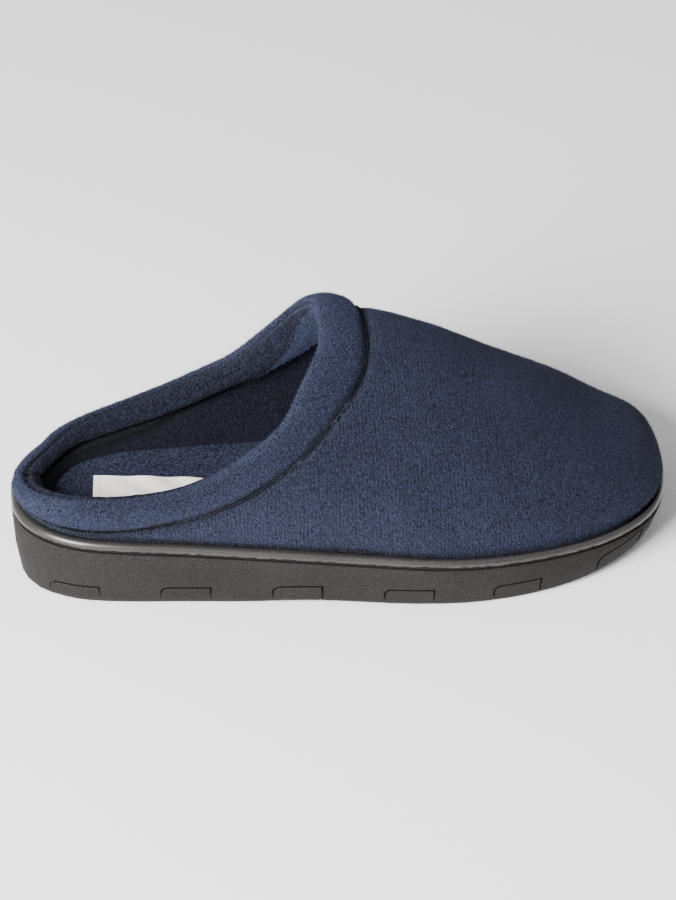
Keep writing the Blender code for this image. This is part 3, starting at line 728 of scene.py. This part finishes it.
footbed = skin_copy("insole", "footbed_cushion")
alone(footbed)
remesh = footbed.modifiers.new("even_mesh", "REMESH")
remesh.mode = "VOXEL"
remesh.voxel_size = FOOTBED_VOXEL
bpy.ops.object.modifier_apply(modifier=remesh.name)
relax = footbed.modifiers.new("relax", "SMOOTH")
relax.factor = FOOTBED_RELAX
relax.iterations = FOOTBED_RELAX_ROUNDS
bpy.ops.object.modifier_apply(modifier=relax.name)
bpy.ops.object.shade_smooth()
lump(footbed, LUMP_SIZE, LUMP_HEIGHT, seed=6.0)
for vert in footbed.data.vertices:
    heelwards = 1.0 - ease(vert.co.x, *FOOTBED_SINK_ENDS)
    upper_half = ease(vert.co.z, *FOOTBED_SINK_LEVELS)
    vert.co.z -= heelwards * upper_half * FOOTBED_SINK
reshape(footbed, SOFT_SHIFTS)
footbed.data.materials.append(plush_material(
    "navy_footbed_plush_painted_light", LIT_FOOTBED_ROOT, LIT_FOOTBED_TIP, LINING_PILE, EVEN_LAY, FOOTBED_DEPTH, LINING_SHEEN))
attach(footbed, "root")
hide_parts("insole")

# Label
# A small, blank cream label woven in satin, laid on the footbed's heel with a slight wave and
# stitched down near its two short ends.
LABEL_CREAM = (0.97, 0.92, 0.86)
LABEL_THREAD = (0.20, 0.17, 0.14)
LABEL_ROUGHNESS = 0.55
LABEL_SHEEN = 0.2
LABEL_CLOUDS = 120.0
LABEL_CLOUD_SHARE = 0.15
LABEL_LENGTH = 0.0620
LABEL_WIDTH = 0.0232
LABEL_TURN = math.radians(-6.5)
LABEL_CLOTH = 0.00035
LABEL_LIFT = 0.00020
LABEL_WAVE = 0.00035
LABEL_RIPPLES = (9.0, 20.0)
LABEL_SHARP = math.radians(40.0)
LABEL_GRID = (62, 24)
WEFT_PITCH = 0.00036
WARP_PITCH = 0.0005652
WEAVE_DEPTH = 0.00008
THREAD_ROUGHNESS = 0.7
THREAD_TWIST = 3000.0
STITCH_LENGTH = 0.0019
STITCH_PITCH = 0.0026
STITCH_THICK = 0.00042
STITCH_INSET = 0.0026
STITCH_SEGMENTS = 10
STITCH_RINGS = 6
DROP_HEIGHT = 0.02

label_low, label_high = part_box("label")
label_middle = (label_low + label_high) / 2.0
label_along = Vector((math.cos(LABEL_TURN), math.sin(LABEL_TURN), 0.0))
label_across = Vector((-math.sin(LABEL_TURN), math.cos(LABEL_TURN), 0.0))
footbed_skin = skin_tree(footbed)


def on_footbed(along, across, lift):
    """A place on the footbed, from the label's middle, so far along and across it."""
    place = label_middle + label_along * along + label_across * across
    hit = footbed_skin.ray_cast(place + Vector((0.0, 0.0, DROP_HEIGHT)), Vector((0.0, 0.0, -1.0)))[0]
    return Vector((place.x, place.y, hit.z + lift))


def label_wave(along, across):
    """How far the laid label lifts between its stitched ends."""
    slack = math.cos(math.pi * along / LABEL_LENGTH)
    turns = LABEL_RIPPLES[0] * across / LABEL_WIDTH + LABEL_RIPPLES[1] * along / LABEL_LENGTH
    return LABEL_WAVE * slack * (1.0 + math.sin(turns))


bpy.ops.object.select_all(action="DESELECT")
bpy.ops.mesh.primitive_grid_add(x_subdivisions=LABEL_GRID[0], y_subdivisions=LABEL_GRID[1], size=1.0)
label = bpy.context.object
label.name = "woven_label"
for vert in label.data.vertices:
    along = vert.co.x * LABEL_LENGTH
    across = vert.co.y * LABEL_WIDTH
    vert.co = on_footbed(along, across, LABEL_LIFT + label_wave(along, across))
thick = label.modifiers.new("cloth", "SOLIDIFY")
thick.thickness = LABEL_CLOTH
thick.offset = 1.0
bpy.ops.object.modifier_apply(modifier=thick.name)
bpy.ops.object.shade_smooth_by_angle(angle=LABEL_SHARP)

material, tree, shader = new_material("cream_satin_weave")
place = put(tree, "TexCoord").outputs["Object"]
threads = put(tree, "Mapping", {"Vector": place, "Rotation": (0.0, 0.0, -LABEL_TURN)}).outputs[0]
weft = put(tree, "TexWave", {"Vector": threads, "Scale": WAVE_PERIOD / WEFT_PITCH, "Distortion": 0.4},
           bands_direction="X").outputs["Fac"]
warp = put(tree, "TexWave", {"Vector": threads, "Scale": WAVE_PERIOD / WARP_PITCH, "Distortion": 0.4},
           bands_direction="Y").outputs["Fac"]
weave = put(tree, "Math", {0: weft, 1: warp}, operation="MULTIPLY").outputs[0]
tint = put(tree, "TexNoise", {"Vector": place, "Scale": LABEL_CLOUDS, "Detail": 2.0}).outputs[0]
shade = put(tree, "MapRange", {"Value": tint, "To Min": 0.0, "To Max": LABEL_CLOUD_SHARE}).outputs[0]
tree.links.new(mixed(tree, shade, opaque(LABEL_CREAM), opaque(LABEL_THREAD)),
               shader.inputs["Base Color"])
bump = put(tree, "Bump", {"Height": weave, "Distance": WEAVE_DEPTH})
tree.links.new(bump.outputs[0], shader.inputs["Normal"])
shader.inputs["Roughness"].default_value = LABEL_ROUGHNESS
shader.inputs["Sheen Weight"].default_value = LABEL_SHEEN
label.data.materials.append(material)
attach(label, "root")
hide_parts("label")

stitches = []
rows = int(LABEL_WIDTH / STITCH_PITCH)
for end in (-1.0, 1.0):
    for i in range(rows):
        across = (i - (rows - 1) / 2.0) * STITCH_PITCH
        along = end * (LABEL_LENGTH / 2.0 - STITCH_INSET)
        bpy.ops.object.select_all(action="DESELECT")
        bpy.ops.mesh.primitive_uv_sphere_add(segments=STITCH_SEGMENTS, ring_count=STITCH_RINGS, radius=0.5)
        stitch = bpy.context.object
        stitch.scale = (STITCH_THICK, STITCH_LENGTH, STITCH_THICK)
        stitch.rotation_euler = (0.0, 0.0, LABEL_TURN)
        stitch.location = on_footbed(along, across, LABEL_LIFT + LABEL_CLOTH + label_wave(along, across))
        stitches.append(stitch)
bpy.ops.object.select_all(action="DESELECT")
for stitch in stitches:
    stitch.select_set(True)
bpy.context.view_layer.objects.active = stitches[0]
bpy.ops.object.join()
bpy.ops.object.transform_apply(location=True, rotation=True, scale=True)
bpy.ops.object.shade_smooth()
label_stitches = bpy.context.object
label_stitches.name = "label_stitches"
material, tree, shader = new_material("cream_thread")
place = put(tree, "TexCoord").outputs["Object"]
twist = put(tree, "TexNoise", {"Vector": place, "Scale": THREAD_TWIST, "Detail": 1.0}).outputs[0]
tree.links.new(mixed(tree, twist, opaque(LABEL_THREAD), opaque(LABEL_CREAM)),
               shader.inputs["Base Color"])
shader.inputs["Roughness"].default_value = THREAD_ROUGHNESS
label_stitches.data.materials.append(material)
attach(label_stitches, "root")

# Floor
# A plain pale studio floor, matt, and wide enough to fill the picture from any side.
FLOOR_HALF = 3.0
FLOOR_GREY = (0.92, 0.92, 0.92)
FLOOR_ROUGHNESS = 0.9

bpy.ops.object.select_all(action="DESELECT")
bpy.ops.mesh.primitive_plane_add(size=2.0 * FLOOR_HALF, location=(0.0, 0.0, 0.0))
floor = bpy.context.object
floor.name = "studio_floor"
material, tree, shader = new_material("pale_floor")
shader.inputs["Base Color"].default_value = opaque(FLOOR_GREY)
shader.inputs["Roughness"].default_value = FLOOR_ROUGHNESS
floor.data.materials.append(material)

# Light
# One large soft key from the upper left of the camera, a weak fill from the right, and an even
# pale sky.
KEY_PLACE = (-1.2, -1.1, 0.95)
KEY_AIM = (-0.02, 0.0, 0.04)
KEY_SIZE = 0.9
KEY_POWER = 155.0
FILL_PLACE = (1.2, -0.6, 0.8)
FILL_AIM = (0.0, 0.0, 0.04)
FILL_SIZE = 1.2
FILL_POWER = 2.0
SKY_STRENGTH = 0.50


def soft_light(name, place, aim, size, power):
    """Square area light that points at a place."""
    data = bpy.data.lights.new(name, "AREA")
    data.size = size
    data.energy = power
    lamp = bpy.data.objects.new(name, data)
    lamp.location = place
    lamp.rotation_euler = (Vector(aim) - Vector(place)).to_track_quat("-Z", "Y").to_euler()
    bpy.context.scene.collection.objects.link(lamp)


soft_light("key", KEY_PLACE, KEY_AIM, KEY_SIZE, KEY_POWER)
soft_light("fill", FILL_PLACE, FILL_AIM, FILL_SIZE, FILL_POWER)
sky = bpy.data.worlds.new("pale_sky")
sky.use_nodes = True
sky.node_tree.nodes["Background"].inputs["Color"].default_value = (1.0, 1.0, 1.0, 1.0)
sky.node_tree.nodes["Background"].inputs["Strength"].default_value = SKY_STRENGTH
bpy.context.scene.world = sky

# Camera
# The photograph's view: from the outer side, a little behind the middle, looking down.
AZIMUTH = math.radians(-8.63)
ELEVATION = math.radians(36.63)
ROLL = math.radians(0.6)
DISTANCE = 1.685
TARGET = Vector((0.0, -0.00117, 0.045))
PIXELS_PER_METRE = 2304.0
FRAME_WIDTH = 676
FRAME_HEIGHT = 900
TARGET_X = 345.0
TARGET_Y = 454.0
SENSOR = 24.0

back = Vector((math.sin(AZIMUTH) * math.cos(ELEVATION),
               -math.cos(AZIMUTH) * math.cos(ELEVATION), math.sin(ELEVATION)))
level_right = Vector((math.cos(AZIMUTH), math.sin(AZIMUTH), 0.0))
level_up = back.cross(level_right)
right = math.cos(ROLL) * level_right + math.sin(ROLL) * level_up
up = math.cos(ROLL) * level_up - math.sin(ROLL) * level_right
lens = bpy.data.cameras.new("camera")
lens.sensor_fit = "VERTICAL"
lens.sensor_height = SENSOR
lens.lens = PIXELS_PER_METRE * DISTANCE / FRAME_HEIGHT * SENSOR
lens.shift_x = (FRAME_WIDTH / 2.0 - TARGET_X) / FRAME_HEIGHT
lens.shift_y = (TARGET_Y - FRAME_HEIGHT / 2.0) / FRAME_HEIGHT
lens.clip_end = 20.0
camera = bpy.data.objects.new("camera", lens)
turn = Matrix((right, up, back)).transposed().to_4x4()
camera.matrix_world = Matrix.Translation(TARGET + back * DISTANCE) @ turn
bpy.context.scene.collection.objects.link(camera)
bpy.context.scene.camera = camera
